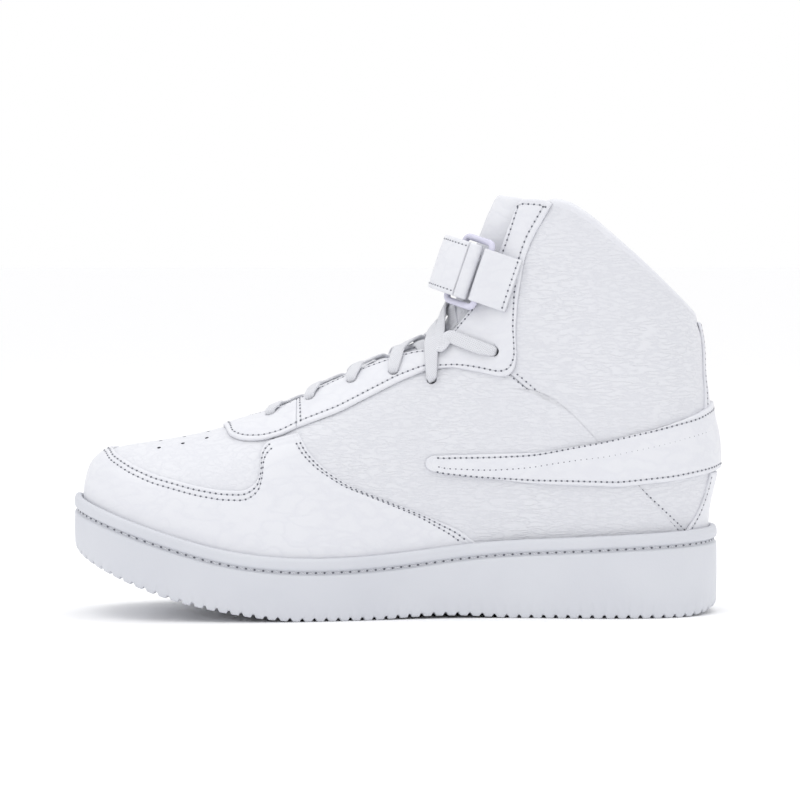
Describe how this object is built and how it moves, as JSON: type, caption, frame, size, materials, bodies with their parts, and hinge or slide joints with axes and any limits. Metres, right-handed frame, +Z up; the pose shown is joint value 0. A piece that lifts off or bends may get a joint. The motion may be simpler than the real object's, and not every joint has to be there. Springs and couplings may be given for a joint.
{
  "type": "basketball high top",
  "caption": "Right-foot high-top basketball shoe with a cupsole, stitched leather panels, full lacing and a hook-and-loop ankle strap folded through a plastic ring.",
  "frame": {"origin": "on the ground under the middle of the shoe's bounding box", "axes": "+Z up; the toe points to -X and the heel to +X; -Y is the medial (inner) side of the foot and +Y the lateral side"},
  "size_m": [0.3018, 0.1084, 0.1976],
  "materials": {
    "sole_rubber": "moulded matte rubber, very fine grain",
    "sole_thread": "waxed thick thread",
    "midsole_foam": "moulded foam",
    "fibre_board": "pressed cellulose board",
    "sock_fabric": "knitted cloth on foam",
    "upper_leather": "coated leather with fine creases, semi-matte",
    "overlay_leather": "smooth coated leather, semi-matte",
    "binding_leather": "thin soft coated leather rolled over padding",
    "tongue_leather": "soft coated leather",
    "padding_foam": "open-cell foam",
    "lining_mesh": "knitted mesh",
    "lace_cotton": "flat woven lace",
    "strap_leather": "smooth coated leather with folded edges",
    "closure_tape": "hook-and-loop tape",
    "ring_plastic": "moulded plastic, satin"
  },
  "bodies": {
    "shoe": {"cupsole": "sole_rubber", "sidewall_thread": "sole_thread", "foam_wedge": "midsole_foam", "lasting_board": "fibre_board", "toe_box": "upper_leather", "quarter_medial": "upper_leather", "quarter_lateral": "upper_leather", "ankle_panel_medial": "upper_leather", "ankle_panel_lateral": "upper_leather", "front_overlay": "overlay_leather", "eyestay_bow": "overlay_leather", "eyestay_medial": "overlay_leather", "eyestay_lateral": "overlay_leather", "backstay": "overlay_leather", "heel_foxing": "overlay_leather", "heel_wrap": "overlay_leather", "toe_puff": "fibre_board", "heel_counter": "fibre_board", "collar_foam": "padding_foam", "vamp_lining": "lining_mesh", "quarter_lining": "lining_mesh", "collar_binding": "binding_leather", "tongue_face": "tongue_leather", "tongue_foam": "padding_foam", "tongue_lining": "lining_mesh", "lace": "lace_cotton", "strap_anchored_run": "strap_leather", "loop_tape": "closure_tape", "ring_keeper": "strap_leather"},
    "strap_free_end": {"strap_free_run": "strap_leather", "hook_tape": "closure_tape"},
    "ring": {"strap_ring": "ring_plastic"},
    "inlay": {"sockliner": "sock_fabric"}
  },
  "joints": [
    {"name": "strap_peel", "type": "hinge", "parent": "shoe", "child": "strap_free_end", "pos_m": [0.02929, -0.02412, 0.16057], "axis": [0.319, 0, 0.9478], "range_deg": [0, 110]},
    {"name": "ring_rock", "type": "hinge", "parent": "shoe", "child": "ring", "pos_m": [0.03942, -0.02497, 0.15716], "axis": [0.319, 0, 0.9478], "range_deg": [-1, 3]},
    {"name": "inlay_lift", "type": "hinge", "parent": "shoe", "child": "inlay", "pos_m": [-0.1388, -0.012, 0.0453], "axis": [0, -1, 0], "range_deg": [0, 6]}
  ]
}
